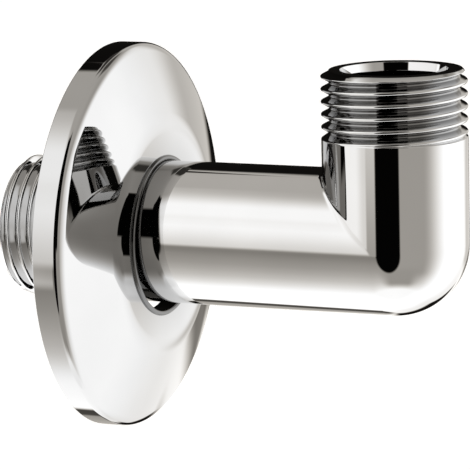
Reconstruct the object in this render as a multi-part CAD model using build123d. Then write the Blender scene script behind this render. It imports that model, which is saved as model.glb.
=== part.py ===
"""Wall outlet elbow with a loose wall rosette, in millimetres.

Frame: X = 0 is the wall plane and +X leads out along the arm, +Z is up along the outlet.
The origin is where the inlet axis goes through the wall plane.
"""
import os
from math import cos, radians, sin, tan

from build123d import *

# Parallel pipe thread G 1/2, as drawn at its crests.
thread_r = 20.955 / 2
thread_root_r = 18.631 / 2
flank_rise = 0.66

# Elbow body, cast in one piece.
body_r = 10.5
bore_r = 7.5
axis_reach = 44.0
outlet_height = 25.2
inlet_length = 15.0

# Outlet end, measured up the outlet axis from the arm axis.
shoulder_height = 15.4
shoulder_cone = 0.9
outlet_relief = 0.3
outlet_end_r = 9.75
outlet_lead = 0.8
mouth_chamfer = 0.25

# Inlet end, measured along the arm axis from the wall plane.
inlet_thread_end = 1.0
inlet_relief = 1.6
inlet_cone = 0.9
inlet_end_r = 9.5
inlet_lead = 1.0

# Rosette, pressed from sheet and hung on the arm.
sheet = 0.75
arm_clearance = 0.65
rim_r = 28.5
rim_straight = 3.1
rim_round = 1.2
rim_steps = 3
crest_steps = 2
edge_slope = 37.0
edge_ease = 3.3
slope_at_rim = 21.0
slope_at_crown = 16.0
crown_r = 17.4
crown_round = 3.5
dish_slope = 4.0
lip_bend = 0.15
lip_height = 0.4
lip_edge = 0.15
collar_depth = 3.0

relief_r = thread_root_r - 0.1
hole_r = body_r + arm_clearance
lip_r = hole_r + sheet


def lathe(points):
    """Solid turned about the profile's own X axis from (along, radius) points."""
    outline = [(points[0][0], 0)] + points + [(points[-1][0], 0)]
    return revolve(make_face(Polyline(*outline, close=True)), Axis.X)


def elbow_body():
    cone_top = shoulder_height + shoulder_cone
    relief_top = cone_top + outlet_relief
    outlet_points = [
        (0, body_r),
        (shoulder_height, body_r),
        (cone_top, relief_r),
        (relief_top, relief_r),
        (relief_top + flank_rise, thread_r),
        (outlet_height - outlet_lead, thread_r),
        (outlet_height, outlet_end_r),
    ]
    relief_start = inlet_thread_end + flank_rise
    arm_start = relief_start + inlet_relief + inlet_cone
    inlet_points = [
        (-inlet_length, inlet_end_r),
        (inlet_lead - inlet_length, thread_r),
        (inlet_thread_end, thread_r),
        (relief_start, relief_r),
        (relief_start + inlet_relief, relief_r),
        (arm_start, body_r),
        (axis_reach, body_r),
    ]
    corner = Pos(axis_reach, 0, 0)
    upright = corner * Rot(0, -90, 0)
    metal = lathe(inlet_points) + upright * lathe(outlet_points) + corner * Sphere(body_r)

    mouth = bore_r + mouth_chamfer
    outlet_bore = [(0, bore_r), (outlet_height - mouth_chamfer, bore_r), (outlet_height, mouth)]
    inlet_bore = [
        (-inlet_length, mouth),
        (mouth_chamfer - inlet_length, bore_r),
        (axis_reach, bore_r),
    ]
    waterway = lathe(inlet_bore) + upright * lathe(outlet_bore) + corner * Sphere(bore_r)
    return metal - waterway


def behind(point, slope):
    """Point on the hidden side of the sheet, opposite one on its face."""
    return point - sheet * Vector(cos(slope), sin(slope))


def escutcheon():
    """Sheet profile followed once round: outside from wall to lip, then back along the inside."""
    edge, rim, crown, dish = (radians(a) for a in (edge_slope, slope_at_rim, slope_at_crown, dish_slope))
    edge_r = rim_r - rim_round * (1 - sin(edge))
    dome_r = edge_r - edge_ease * (sin(edge) - sin(rim))
    dome_round = (dome_r - crown_r) / (sin(rim) - sin(crown))
    rim_edge = []
    for step in range(rim_steps + 1):
        slope = radians(90 - (90 - edge_slope) * step / rim_steps)
        rim_edge.append((rim_straight + rim_round * cos(slope), rim_r - rim_round * (1 - sin(slope))))
    dome_along = rim_edge[-1][0] + edge_ease * (cos(rim) - cos(edge))

    with BuildSketch() as profile:
        with BuildLine():
            band = Polyline((0, rim_r), *rim_edge, (dome_along, dome_r))
            dome = JernArc(band @ 1, (sin(rim), -cos(rim)), dome_round, slope_at_crown - slope_at_rim)
            crest_centre = dome @ 1 - crown_round * Vector(cos(crown), sin(crown))
            slopes = [crown - (crown + dish) * step / crest_steps for step in range(1, crest_steps + 1)]
            bends = [crest_centre + crown_round * Vector(cos(slope), sin(slope)) for slope in slopes]
            crest = Polyline(dome @ 1, *bends)
            foot_r = lip_r + lip_bend
            foot = (crest @ 1).X - ((crest @ 1).Y - foot_r) * tan(dish)
            lip_end = foot + lip_height
            lip = Polyline(
                crest @ 1,
                (foot, foot_r),
                (foot + lip_bend, lip_r),
                (lip_end - lip_edge, lip_r),
                (lip_end, lip_r - lip_edge),
                (lip_end, hole_r + lip_edge),
                (lip_end - lip_edge, hole_r),
                (lip_end - collar_depth, hole_r),
                (lip_end - collar_depth, lip_r),
            )
            Polyline(
                lip @ 1,
                (foot - sheet / cos(dish) - lip_bend * tan(dish), lip_r),
                behind(bends[0], slopes[0]),
                behind(dome @ 0.5, (crown + rim) / 2),
                behind(dome @ 0, rim),
                (rim_straight, rim_r - sheet),
                (0, rim_r - sheet),
                band @ 0,
            )
        make_face()
    return Pos(0, 0, -arm_clearance) * revolve(profile.sketch, Axis.X)


os.makedirs("parts", exist_ok=True)
export_step(elbow_body(), "parts/elbow_body.step")
export_step(escutcheon(), "parts/escutcheon.step")
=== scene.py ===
import math

import bpy
import numpy as np
from mathutils import Matrix


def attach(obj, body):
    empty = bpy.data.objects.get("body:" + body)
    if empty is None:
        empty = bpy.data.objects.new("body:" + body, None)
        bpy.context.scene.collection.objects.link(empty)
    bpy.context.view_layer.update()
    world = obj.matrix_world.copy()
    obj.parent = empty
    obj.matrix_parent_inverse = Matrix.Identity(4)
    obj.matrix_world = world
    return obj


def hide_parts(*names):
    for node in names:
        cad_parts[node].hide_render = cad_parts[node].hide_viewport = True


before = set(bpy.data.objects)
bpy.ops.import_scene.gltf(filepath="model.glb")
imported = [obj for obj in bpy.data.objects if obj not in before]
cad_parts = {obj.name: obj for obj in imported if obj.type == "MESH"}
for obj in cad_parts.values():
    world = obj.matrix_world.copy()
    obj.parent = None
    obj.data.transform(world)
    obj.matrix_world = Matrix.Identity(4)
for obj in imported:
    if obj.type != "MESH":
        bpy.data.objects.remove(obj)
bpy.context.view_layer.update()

MM = 0.001

# Sizes of the body in millimetres, as in the part's source.
BODY_R = 10.5
BORE_R = 7.5
REACH = 44.0
OUTLET_TOP = 25.2
OUTLET_END_R = 9.75
OUTLET_LEAD = 0.8
SHOULDER = 15.4
SHOULDER_CONE = 0.9
INLET_END = -15.0
INLET_END_R = 9.5
INLET_LEAD = 1.0
INLET_THREAD_END = 1.0
INLET_RELIEF = 1.6
INLET_CONE = 0.9
FLANK_RISE = 0.66
MOUTH = 0.25

# Finer forms of the body: taper of the outlet's mouth, small rounds at the inlet's cone, and the soft
# crease of the mitre, which fades where the legs run together at the sides.
MOUTH_DEPTH = 1.2
MOUTH_EASE = 0.01
RELIEF_LEAD = 0.1
CONE_EASE_LENGTH = 0.06
CONE_EASE = 0.08
ARM_LEAD = 0.3
CREASE = 0.5
CREASE_FADE = 0.55

# Pipe thread in its Whitworth form, with the place of one crest on each end.
THREAD_R = 20.955 / 2
THREAD_DEPTH = 1.162
PITCH = 1.814
CREST_ROUND = 0.137329 * PITCH
FLANK = math.radians(27.5)
ROOT_R = THREAD_R - THREAD_DEPTH
RELIEF_BELOW_ROOT = 0.1
RELIEF_R = ROOT_R - RELIEF_BELOW_ROOT
OUTLET_CREST_AT = 16.18
OUTLET_CREST_TURN = math.radians(23.3)
INLET_CREST_AT = -1.0

# Section of the pressed rosette, in millimetres and degrees, as in the part's source.
ROSETTE_DROP = 0.65
SHEET = 0.75
RIM_R = 28.5
RIM_STRAIGHT = 3.1
RIM_ROUND = 1.2
EDGE_SLOPE = 37.0
EDGE_EASE = 3.3
SLOPE_AT_RIM = 21.0
SLOPE_AT_CROWN = 16.0
CROWN_R = 17.4
CROWN_ROUND = 3.5
DISH_SLOPE = 4.0
LIP_HEIGHT = 0.4
COLLAR_DEPTH = 3.0
HOLE_R = BODY_R + ROSETTE_DROP
LIP_R = HOLE_R + SHEET

# Finer forms of the rosette: a rounder crest, a crisp foot of the lip and rounds on both sheet edges.
CREST_ROUND_SEEN = 8.0
LIP_BEND = 0.02
LIP_NOSE = 0.365
COLLAR_EDGE = 0.15

# Fineness of the meshes: points round a ring, rings on each turn of thread and round the heel, degrees
# of an arc's step and its fewest steps, how far from an edge the extra rings stand that keep it crisp,
# and the decimals of a millimetre to which points are rounded.
AROUND = 208
OUTLET_TURN_RINGS = 26
INLET_TURN_RINGS = 18
HEEL_RINGS = 31
ARC_STEP = 4
FEWEST_STEPS = 6
EDGE = 0.05
SECTION_EDGE = 0.06
MESH_DIGITS = 5

# Rings of each leg by their distance from the bend. They lie square to the leg at the first distance
# and along the mitre from the full one on.
BEND_STEPS = (15.0, 12, 9, 6.5, 4.5, 3.2, 2.3, 1.7, 1.3, 1.0, 0.8, 0.65, 0.52, 0.4, 0.3, 0.2, 0.1, 0)
MITRE_FULL = 1.5

# Search for the surface of the soft crease.
TINY = 1e-6
NUDGE = 1e-4
LEAST_SLOPE = 0.2
SEARCH_ROUNDS = 8

# Finish of the plating: ranges of reflectance and roughness, the colour of the painted shade in the
# outer thread's grooves and on the rosette's lip, where the lip's painted shade fades in millimetres
# from its radius, the height of the polishing's waves in metres, and a shift of the noise for each piece.
BODY_SHINE = (0.505, 0.535)
ROSETTE_SHINE = (0.42, 0.44)
# Painted shade: darker colour in the outlet thread's grooves, where shade falls between the flanks.
GROOVE_SHADE_LEVEL = 0.24
# Painted shade: darker colour on the rosette's lip and in its hole, where it meets the arm.
LIP_SHADE_LEVEL = 0.12
LIP_SHADE_FADE = (-0.02, 0.12)
HAZE = (0.015, 0.035)
WAVE_HEIGHT = 5e-6
BODY_SEED = 1.3
ROSETTE_SEED = 4.7

# Noise of the finish as scale per metre and detail, and the span of the noise that is spread.
CLOUDS = (60, 3)
CLOUD_SPAN = (0.3, 0.7)
SPECKS = (350, 5)
SPECK_SPAN = (0.35, 0.75)
WAVES = (110, 1)

# Studio in degrees, where 0 is in front of the part (-Y) and 90 is +X: brightness by height above the
# horizon, then cards as left, right, low, high, soft sides, soft ends and brightness.
BLACK = 0.001
HEIGHTS = (
    (-90, 1.0), (-67, 0.97), (-61, 0.75), (-56, 0.61), (-52, 0.52), (-43, 0.40), (-34, 0.315), (-24, 0.26),
    (-15, 0.20), (-9, 0.18), (-7, 0.28), (0, 0.30), (40, 0.35), (60, 0.38), (90, 0.38),
)
FRONT_CARDS = (
    (-5, 105, -38, -4, 10, 7, 0.30),
    (-5, 58, -60, -30, 14, 7, 0.28),
)
WHITE_WALL_BEHIND = (
    (88, 285, -95, 24, 25, 9, 1.1),
    (151, 206, -62, 26, 17, 9, 0.82),
    (166, 192, -12, 40, 7, 4, 0.43),
    (160, 184, -19, -8, 6, 3, 0.48),
    (177, 192, -19, -12, 3, 2, 0.14),
)
DARK_GAPS_BEHIND = (
    (187, 265, -14, 43, 2.5, 2, 0.004),
    (215.5, 265, 30, 49.7, 0.4, 1.5, 0.004),
    (180, 211, 42, 66, 3, 3, 0.03),
    (173, 201, -46, -26, 2, 3, 0.004),
    (203, 222, -46, -14, 3, 4, 0.28),
    (203, 224, -50, -41, 4, 2, 0.05),
    (140, 170, 40, 62, 5, 5, 0.05),
)
SOFT_BOX_ON_THE_LEFT = (
    (-84, -27.3, -20.5, 10, 1.9, 3, 0.62),
    (-84, -4, -9.5, 30, 6, 3, 0.62),
    (-84, -4, 4, 35, 6, 20, 0.95),
    (-84, -4, 28, 59, 6, 11, 0.95),
    (-84, -38, -18, 0, 8, 5, 0.86),
)
BLACK_PANEL_IN_FRONT = (
    (-12, 43, -1.5, 64, 1.5, 2.5, BLACK),
    (-12, 25.5, -14, 0, 1.5, 3, BLACK),
)
CARDS = FRONT_CARDS + WHITE_WALL_BEHIND + DARK_GAPS_BEHIND + SOFT_BOX_ON_THE_LEFT + BLACK_PANEL_IN_FRONT

# Round lower end of the black panel: its middle, half its width and half its height. Its soft edge is
# a share of those halves.
PANEL_END = (6.75, -14, 18.75, 23)
PANEL_END_SOFT = 0.09

# Level of the whole studio, and the warm tint of its dim parts.
STUDIO_LEVEL = 1.92
DIM_TINT = (1.08, 1.0, 0.885, 1)
WHITE = (1, 1, 1, 1)

# Floor below the part: height and half its side in metres, and the glow that makes it white to the camera.
FLOOR_HEIGHT = -0.15
FLOOR_HALF = 3.0
FLOOR_COLOR = (0.9, 0.9, 0.9, 1)
FLOOR_ROUGHNESS = 0.9
FLOOR_GLOW = 0.42

# Camera fitted to the photograph's outlines: degrees from the front, up and rolled, its place in metres,
# lens and sensor in millimetres.
CAMERA_TURN = 23.315
CAMERA_RISE = 10.365
CAMERA_ROLL = -1.396
CAMERA_AT = (0.194144, -0.406792, 0.080959)
LENS = 235.2
SENSOR = 36

# Angle of each point on a ring, from the inside of the bend.
turn = np.arange(AROUND) * (2 * math.pi / AROUND)
inward = np.cos(turn)
sideways = np.sin(turn)


def smooth(low, high, value):
    t = np.clip((value - low) / (high - low), 0, 1)
    return t * t * (3 - 2 * t)


def thread_radius(along, angle, crest_at):
    """Radius of a right-hand pipe thread with round crests and roots."""
    quarter = PITCH / 4
    phase = along - crest_at - PITCH * angle / (2 * math.pi)
    away = np.abs((phase + PITCH / 2) % PITCH - PITCH / 2)
    mid = THREAD_R - THREAD_DEPTH / 2
    side = np.where(away < quarter, 1.0, -1.0)
    near = np.where(away < quarter, away, 2 * quarter - away)
    tangent = CREST_ROUND * math.cos(FLANK)
    arc = THREAD_DEPTH / 2 - CREST_ROUND + np.sqrt(np.maximum(CREST_ROUND ** 2 - near ** 2, 0))
    flank = (quarter - near) / math.tan(FLANK)
    return mid + side * np.where(near < tangent, arc, flank)


def arm_ring(along, radius):
    """A ring of the horizontal leg; the angle starts at its top, the inside of the bend."""
    radius = radius + 0 * turn
    along = along + 0 * turn
    return np.column_stack((along, radius * sideways, radius * inward))


def outlet_ring(height, radius):
    """A ring of the upright leg; the angle starts on the arm's side, the inside of the bend."""
    radius = radius + 0 * turn
    height = height + 0 * turn
    return np.column_stack((REACH - radius * inward, radius * sideways, height))


def bend_rings(radius, crease):
    """Rings from the arm round the mitred bend with its ball-shaped heel to the outlet."""
    heel = np.maximum(-inward, 0) * radius
    corner = np.maximum(inward, 0) * radius
    first = BEND_STEPS[0]
    leg = [(step, corner * min(1, (first - step) / (first - MITRE_FULL))) for step in BEND_STEPS]
    rings = [arm_ring(REACH - step - mitre, radius) for step, mitre in leg]
    for swing in np.radians(np.linspace(0, 90, HEEL_RINGS)[1:-1]):
        across = heel * math.sin(swing) - corner
        up = corner - heel * math.cos(swing)
        rings.append(np.column_stack((REACH + across, radius * sideways, up)))
    rings += [outlet_ring(step + mitre, radius) for step, mitre in leg[::-1]]
    rings = np.array(rings)
    return soften(rings, radius, crease) if crease else rings


def soften(points, radius, crease):
    """Fills the crease of the mitre with a small round, fading where both legs run together."""
    moved = points.reshape(-1, 3).copy()
    fade = np.sqrt(np.clip(1 - (moved[:, 1] / radius) ** 2, 0, 1))
    width = crease * smooth(0.0, CREASE_FADE, fade) + TINY
    inside_bend = (moved[:, 2] > -TINY) & (moved[:, 0] < REACH + TINY)

    def field(p):
        arm = np.hypot(p[:, 1], p[:, 2]) - radius
        leg = np.hypot(p[:, 0] - REACH, p[:, 1]) - radius
        overlap = np.maximum(width - np.abs(arm - leg), 0) / width
        return np.minimum(arm, leg) - overlap ** 2 * width / 4

    for _ in range(SEARCH_ROUNDS):
        here = field(moved)
        slope = np.zeros_like(moved)
        for axis in range(3):
            nudge = np.zeros(3)
            nudge[axis] = NUDGE
            slope[:, axis] = (field(moved + nudge) - field(moved - nudge)) / (2 * NUDGE)
        size = np.maximum((slope ** 2).sum(1), LEAST_SLOPE)
        moved -= np.where(inside_bend, here / size, 0)[:, None] * slope
    return moved.reshape(points.shape)


def outlet_end_rings():
    """Shoulder, thread and lead of the outlet, up to its end face."""
    rows = int((OUTLET_TOP - SHOULDER) / PITCH * OUTLET_TURN_RINGS)
    angle = math.pi - turn - OUTLET_CREST_TURN
    rings = []
    for height in np.linspace(SHOULDER, OUTLET_TOP, rows):
        cone = BODY_R - (height - SHOULDER) * (BODY_R - RELIEF_R) / SHOULDER_CONE
        radius = np.maximum(thread_radius(height, angle, OUTLET_CREST_AT), cone)
        lead = OUTLET_END_R + (OUTLET_TOP - height) * (THREAD_R - OUTLET_END_R) / OUTLET_LEAD
        rings.append(outlet_ring(height, np.minimum(radius, lead)))
    return rings


def inlet_rings():
    """End, thread, relief and shoulder of the inlet, up to the plain arm."""
    relief_at = INLET_THREAD_END + FLANK_RISE
    cone_at = relief_at + INLET_RELIEF
    arm_at = cone_at + INLET_CONE
    rows = int((relief_at - INLET_END) / PITCH * INLET_TURN_RINGS)
    rings = []
    for along in np.linspace(INLET_END, relief_at, rows):
        lead = INLET_END_R + (along - INLET_END) * (THREAD_R - INLET_END_R) / INLET_LEAD
        fall = RELIEF_R + (relief_at - along) * (THREAD_R - RELIEF_R) / FLANK_RISE
        radius = np.minimum(thread_radius(along, -turn, INLET_CREST_AT), np.minimum(lead, fall))
        rings.append(arm_ring(along, radius))
    plain = (
        (relief_at + RELIEF_LEAD, RELIEF_R),
        (cone_at - EDGE, RELIEF_R),
        (cone_at + EDGE, RELIEF_R + CONE_EASE),
        (arm_at - CONE_EASE_LENGTH, BODY_R - CONE_EASE),
        (arm_at + EDGE, BODY_R),
        (arm_at + ARM_LEAD, BODY_R),
    )
    return rings + [arm_ring(along, radius) for along, radius in plain]


def body_rings():
    """Every ring of the one-piece body, outside first and then back through the waterway."""
    mouth_r = BORE_R + MOUTH
    taper = (
        (0, MOUTH),
        (EDGE, MOUTH - MOUTH_EASE),
        (MOUTH_DEPTH - EDGE, MOUTH_EASE),
        (MOUTH_DEPTH, 0),
        (MOUTH_DEPTH + EDGE, 0),
    )
    rings = inlet_rings() + list(bend_rings(BODY_R, CREASE))
    rings.append(outlet_ring(SHOULDER - EDGE, BODY_R))
    rings += outlet_end_rings()
    rings += [outlet_ring(OUTLET_TOP, radius) for radius in (ROOT_R - EDGE, mouth_r + EDGE)]
    rings += [outlet_ring(OUTLET_TOP - depth, BORE_R + wider) for depth, wider in taper]
    rings += list(bend_rings(BORE_R, 0))[::-1]
    rings += [arm_ring(INLET_END + depth, BORE_R) for depth in (MOUTH + EDGE, MOUTH)]
    rings += [arm_ring(INLET_END, radius) for radius in (mouth_r, mouth_r + EDGE, ROOT_R - EDGE)]
    return np.array(rings)


def walk(start, heading, moves):
    """Points along a chain of straight lines and arcs, as (along, radius) pairs."""
    points = [np.array(start, float)]
    heading = math.radians(heading)
    for radius, amount in moves:
        if radius is None:
            step = np.array((math.cos(heading), math.sin(heading)))
            edge = min(SECTION_EDGE, amount / 4)
            begin = points[-1]
            points += [begin + step * length for length in (edge, amount - edge, amount)]
            continue
        swing = math.radians(amount)
        count = max(FEWEST_STEPS, int(abs(amount) / ARC_STEP))
        side = math.copysign(1, swing)
        centre = points[-1] + radius * side * np.array((-math.sin(heading), math.cos(heading)))
        for k in range(1, count + 1):
            now = heading + swing * k / count
            points.append(centre + radius * side * np.array((math.sin(now), -math.cos(now))))
        heading += swing
    return points


def rosette_rings():
    """Closed section of the pressed sheet, turned about the arm."""
    slopes = (SLOPE_AT_RIM, EDGE_SLOPE, SLOPE_AT_CROWN, DISH_SLOPE)
    rim, edge, crown, dish = (math.radians(slope) for slope in slopes)
    edge_r = RIM_R - RIM_ROUND * (1 - math.sin(edge))
    dome_r = edge_r - EDGE_EASE * (math.sin(edge) - math.sin(rim))
    dome_round = (dome_r - CROWN_R) / (math.sin(rim) - math.sin(crown))

    # The rounder crest touches the same dome and the same dish.
    reach = (dome_round - CROWN_ROUND) * math.cos(crown + dish) + CROWN_ROUND - CREST_ROUND_SEEN
    crest = math.acos(reach / (dome_round - CREST_ROUND_SEEN)) - dish
    crest_r = CROWN_R + dome_round * (math.sin(crest) - math.sin(crown))
    crest_slope = math.degrees(crest)

    # Lengths of the straight stretches.
    dish_r = crest_r - CREST_ROUND_SEEN * (math.sin(crest) + math.sin(dish))
    dish_length = (dish_r - LIP_R - LIP_BEND * (1 + math.sin(dish))) / math.cos(dish)
    back_reach = dish_r - LIP_R + SHEET * math.sin(dish) - LIP_BEND * (1 - math.sin(dish))
    back_length = back_reach / math.cos(dish)
    lip = LIP_HEIGHT - LIP_BEND / math.cos(dish) - LIP_NOSE
    dish_drop = (dish_r - LIP_R - LIP_BEND) * math.tan(dish) - back_length * math.sin(dish)
    collar = COLLAR_DEPTH - COLLAR_EDGE - LIP_HEIGHT + dish_drop - (SHEET + LIP_BEND) * math.cos(dish)

    nose = [(LIP_NOSE, -90), (None, SHEET - 2 * LIP_NOSE), (LIP_NOSE, -90)]
    collar_end = [(COLLAR_EDGE, -90), (None, SHEET - 2 * COLLAR_EDGE), (COLLAR_EDGE, -90)]
    bends = [
        (RIM_ROUND, EDGE_SLOPE - 90),
        (EDGE_EASE, SLOPE_AT_RIM - EDGE_SLOPE),
        (dome_round, crest_slope - SLOPE_AT_RIM),
        (CREST_ROUND_SEEN, -DISH_SLOPE - crest_slope),
    ]
    front_side = [(None, RIM_STRAIGHT)] + bends
    front_side += [(None, dish_length), (LIP_BEND, 90 + DISH_SLOPE), (None, lip)] + nose
    back_side = [(None, COLLAR_DEPTH - LIP_NOSE - COLLAR_EDGE)] + collar_end
    back_side += [(None, collar), (LIP_BEND, 90 - DISH_SLOPE), (None, back_length)]
    back_side += [(radius - SHEET, -swing) for radius, swing in bends[::-1]]
    back_side.append((None, RIM_STRAIGHT))
    section = walk((0, RIM_R), 0, front_side + back_side)
    rings = [arm_ring(along, radius) for along, radius in section]
    return np.array(rings) - (0, 0, ROSETTE_DROP)


def solid_from_rings(name, rings):
    """Closed mesh through rings that run once round the section, with area-weighted normals."""
    count, around = rings.shape[:2]
    points = np.round(rings.reshape(-1, 3), MESH_DIGITS)
    unique, index = np.unique(points, axis=0, return_inverse=True)
    index = index.reshape(count, around)
    ahead = np.roll(index, -1, axis=0)
    corners = (index, ahead, np.roll(ahead, -1, axis=1), np.roll(index, -1, axis=1))
    faces = []
    for quad in np.stack(corners, -1).reshape(-1, 4).tolist():
        face = [c for k, c in enumerate(quad) if c != quad[k - 1]]
        if len(set(face)) == len(face) > 2:
            faces.append(face)
    mesh = bpy.data.meshes.new(name)
    mesh.from_pydata((unique * MM).tolist(), [], faces)
    mesh.polygons.foreach_set("use_smooth", np.ones(len(faces), bool))
    mesh.update()
    normals = np.zeros_like(unique)
    for polygon in mesh.polygons:
        push = np.array(polygon.normal) * polygon.area
        for corner in polygon.vertices:
            normals[corner] += push
    normals /= np.linalg.norm(normals, axis=1)[:, None]
    mesh.normals_split_custom_set_from_vertices(normals.tolist())
    piece = bpy.data.objects.new(name, mesh)
    bpy.context.scene.collection.objects.link(piece)
    return piece


def mark_painted_shade(piece, share):
    """Keeps the share of painted shade at each point: 0 for none, 1 where the colour is fully darkened."""
    points = np.array([v.co for v in piece.data.vertices]).T / MM
    piece.data.attributes.new("painted_shade", "FLOAT", "POINT").data.foreach_set("value", share(*points))


def groove_shade_share(x, y, z):
    """Share of painted shade in the outlet's thread by depth: 0 at the crests, 1 at the roots."""
    radius = np.hypot(x - REACH, y)
    threaded = (z > SHOULDER) & (radius > RELIEF_R - EDGE)
    return np.where(threaded, np.clip((THREAD_R - radius) / THREAD_DEPTH, 0, 1), 0)


def lip_shade_share(x, y, z):
    """Share of painted shade: 1 on the lip and in the hole of the rosette, 0 on its dish."""
    low, high = LIP_SHADE_FADE
    return 1 - smooth(LIP_R + low, LIP_R + high, np.hypot(y, z + ROSETTE_DROP))


def grey(level):
    return (level, level, level, 1)


def add_node(tree, kind, **settings):
    node = tree.nodes.new(kind)
    for name, value in settings.items():
        setattr(node, name, value)
    return node


def feed(tree, socket, value):
    """Gives a socket a plain value, or links it to another node's output."""
    if isinstance(value, bpy.types.NodeSocket):
        tree.links.new(value, socket)
    else:
        socket.default_value = value


def math_node(tree, operation, *values):
    node = add_node(tree, "ShaderNodeMath", operation=operation)
    for socket, value in zip(node.inputs, values):
        feed(tree, socket, value)
    return node.outputs[0]


def vector_node(tree, operation, first, second):
    node = add_node(tree, "ShaderNodeVectorMath", operation=operation)
    feed(tree, node.inputs[0], first)
    feed(tree, node.inputs["Scale" if operation == "SCALE" else 1], second)
    return node.outputs["Vector"]


def mix(tree, factor, start, end):
    """Colour that goes from start to end with the factor."""
    node = add_node(tree, "ShaderNodeMix", data_type="RGBA")
    for name, value in (("Factor", factor), ("A", start), ("B", end)):
        feed(tree, node.inputs[name], value)
    return node.outputs["Result"]


def spread(tree, value, span, result):
    """Carries the value's span over to the span of the result, with soft ends."""
    node = add_node(tree, "ShaderNodeMapRange", interpolation_type="SMOOTHSTEP")
    for name, number in zip(("From Min", "From Max", "To Min", "To Max"), (*span, *result)):
        node.inputs[name].default_value = number
    feed(tree, node.inputs["Value"], value)
    return node.outputs["Result"]


def chrome(name, shine, painted_shade_level, seed):
    """Polished chrome plate: clouds in its shine, painted shade in marked places, a little haze and faint
    polishing waves.
    """
    material = bpy.data.materials.new(name)
    material.use_nodes = True
    tree = material.node_tree
    shader = tree.nodes["Principled BSDF"]
    shader.inputs["Metallic"].default_value = 1
    place = add_node(tree, "ShaderNodeTexCoord").outputs["Object"]
    place = vector_node(tree, "ADD", place, (seed, 2 * seed, 3 * seed))

    def noise(scale, detail):
        node = add_node(tree, "ShaderNodeTexNoise")
        node.inputs["Scale"].default_value = scale
        node.inputs["Detail"].default_value = detail
        feed(tree, node.inputs["Vector"], place)
        return node.outputs["Fac"]

    clouds = spread(tree, noise(*CLOUDS), CLOUD_SPAN, (0, 1))
    tint = mix(tree, clouds, *(grey(level) for level in shine))
    # Painted shade: the base colour darkens towards its own level where the mesh marks it.
    painted_shade = add_node(tree, "ShaderNodeAttribute", attribute_name="painted_shade").outputs["Fac"]
    feed(tree, shader.inputs["Base Color"], mix(tree, painted_shade, tint, grey(painted_shade_level)))
    feed(tree, shader.inputs["Roughness"], spread(tree, noise(*SPECKS), SPECK_SPAN, HAZE))
    waves = add_node(tree, "ShaderNodeBump")
    waves.inputs["Strength"].default_value = 1
    waves.inputs["Distance"].default_value = WAVE_HEIGHT
    feed(tree, waves.inputs["Height"], noise(*WAVES))
    feed(tree, shader.inputs["Normal"], waves.outputs["Normal"])
    return material


def inside(tree, value, half, soft):
    """1 within half of zero, fading to 0 over the soft edge."""
    return spread(tree, math_node(tree, "ABSOLUTE", value), (half - soft, half + soft), (1, 0))


def brightness_by_height(tree, raised):
    ramp = add_node(tree, "ShaderNodeValToRGB")
    feed(tree, ramp.inputs["Fac"], math_node(tree, "MULTIPLY_ADD", raised, 1 / 180, 0.5))
    stops = ramp.color_ramp.elements
    while len(stops) < len(HEIGHTS):
        stops.new(1)
    for stop, (height, level) in zip(stops, HEIGHTS):
        stop.position = height / 180 + 0.5
        stop.color = grey(level)
    return ramp.outputs["Color"]


def card_mask(tree, turned, raised, card):
    """1 on a card with soft edges, 0 beside it."""
    left, right, low, high, soft_side, soft_end = card
    off = math_node(tree, "SUBTRACT", turned, (left + right) / 2)
    off = math_node(tree, "WRAP", off, 180, -180)
    lift = math_node(tree, "SUBTRACT", raised, (low + high) / 2)
    between_sides = inside(tree, off, (right - left) / 2, soft_side)
    between_ends = inside(tree, lift, (high - low) / 2, soft_end)
    return math_node(tree, "MULTIPLY", between_sides, between_ends)


def panel_end_mask(tree, turned, raised):
    """1 on the round end of the black panel, 0 beside it."""
    middle, height, half_width, half_height = PANEL_END
    off = math_node(tree, "DIVIDE", math_node(tree, "SUBTRACT", turned, middle), half_width)
    lift = math_node(tree, "DIVIDE", math_node(tree, "SUBTRACT", raised, height), half_height)
    squares = (math_node(tree, "MULTIPLY", shift, shift) for shift in (off, lift))
    away = math_node(tree, "SQRT", math_node(tree, "ADD", *squares))
    return inside(tree, away, 1, PANEL_END_SOFT)


def studio():
    """World of soft cards round the object; the camera itself sees plain white."""
    world = bpy.data.worlds.new("studio")
    world.use_nodes = True
    tree = world.node_tree
    way = add_node(tree, "ShaderNodeSeparateXYZ")
    feed(tree, way.inputs[0], add_node(tree, "ShaderNodeTexCoord").outputs["Generated"])
    x, y, z = way.outputs
    turned = math_node(tree, "ARCTAN2", x, math_node(tree, "MULTIPLY", y, -1))
    turned = math_node(tree, "DEGREES", turned)
    raised = math_node(tree, "DEGREES", math_node(tree, "ARCSINE", z))

    light = brightness_by_height(tree, raised)
    for *card, level in CARDS:
        light = mix(tree, card_mask(tree, turned, raised, card), light, grey(level))
    light = mix(tree, panel_end_mask(tree, turned, raised), light, grey(BLACK))

    warm = vector_node(tree, "MULTIPLY", light, mix(tree, light, DIM_TINT, WHITE))
    bright = vector_node(tree, "SCALE", warm, STUDIO_LEVEL)
    seen = add_node(tree, "ShaderNodeLightPath").outputs["Is Camera Ray"]
    feed(tree, tree.nodes["Background"].inputs["Color"], mix(tree, seen, bright, WHITE))
    return world


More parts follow.
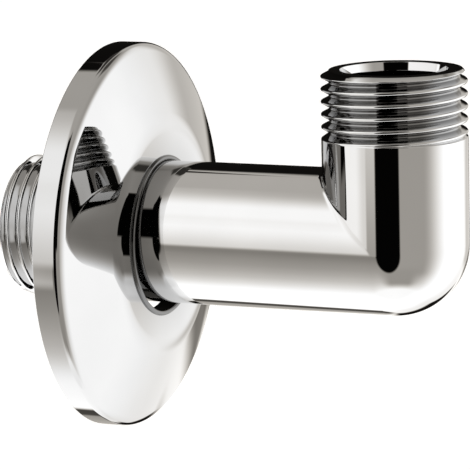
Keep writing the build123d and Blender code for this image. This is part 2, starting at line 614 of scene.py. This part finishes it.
def add_floor(scene):
    """Pale floor well below the part: white to the camera, with a soft shadow."""
    mesh = bpy.data.meshes.new("floor")
    corners = [(-1, -1), (1, -1), (1, 1), (-1, 1)]
    points = [(FLOOR_HALF * x, FLOOR_HALF * y, FLOOR_HEIGHT) for x, y in corners]
    mesh.from_pydata(points, [], [(0, 1, 2, 3)])
    piece = bpy.data.objects.new("floor", mesh)
    scene.collection.objects.link(piece)
    piece.visible_glossy = False
    material = bpy.data.materials.new("floor")
    material.use_nodes = True
    tree = material.node_tree
    shader = tree.nodes["Principled BSDF"]
    shader.inputs["Base Color"].default_value = FLOOR_COLOR
    shader.inputs["Roughness"].default_value = FLOOR_ROUGHNESS
    shader.inputs["Emission Color"].default_value = WHITE
    seen = add_node(tree, "ShaderNodeLightPath").outputs["Is Camera Ray"]
    feed(tree, shader.inputs["Emission Strength"], math_node(tree, "MULTIPLY", seen, FLOOR_GLOW))
    mesh.materials.append(material)


def add_camera(scene):
    azimuth, elevation, roll = (math.radians(a) for a in (CAMERA_TURN, CAMERA_RISE, CAMERA_ROLL))
    flat = math.cos(elevation)
    back = np.array((math.sin(azimuth) * flat, -math.cos(azimuth) * flat, math.sin(elevation)))
    level = np.cross(-back, (0, 0, 1))
    level /= np.linalg.norm(level)
    upright = np.cross(back, level)
    right = math.cos(roll) * level + math.sin(roll) * upright
    up = math.cos(roll) * upright - math.sin(roll) * level
    lens = bpy.data.cameras.new("camera")
    lens.sensor_width = SENSOR
    lens.lens = LENS
    camera = bpy.data.objects.new("camera", lens)
    camera.matrix_world = Matrix(np.column_stack((right, up, back)).tolist()).to_4x4()
    camera.location = CAMERA_AT
    scene.collection.objects.link(camera)
    scene.camera = camera


elbow = solid_from_rings("elbow", body_rings())
rosette = solid_from_rings("rosette", rosette_rings())
# Painted shade goes into the thread's grooves and onto the rosette's lip and hole.
mark_painted_shade(elbow, groove_shade_share)
mark_painted_shade(rosette, lip_shade_share)
elbow.data.materials.append(chrome("body_chrome", BODY_SHINE, GROOVE_SHADE_LEVEL, BODY_SEED))
rosette.data.materials.append(chrome("rosette_chrome", ROSETTE_SHINE, LIP_SHADE_LEVEL, ROSETTE_SEED))
for piece, node, slot in ((elbow, "elbow_body", "body_chrome"), (rosette, "escutcheon", "rosette_chrome")):
    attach(piece, "root")
    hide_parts(node)

scene = bpy.context.scene
scene.view_settings.view_transform = "Standard"
scene.world = studio()
add_floor(scene)
add_camera(scene)
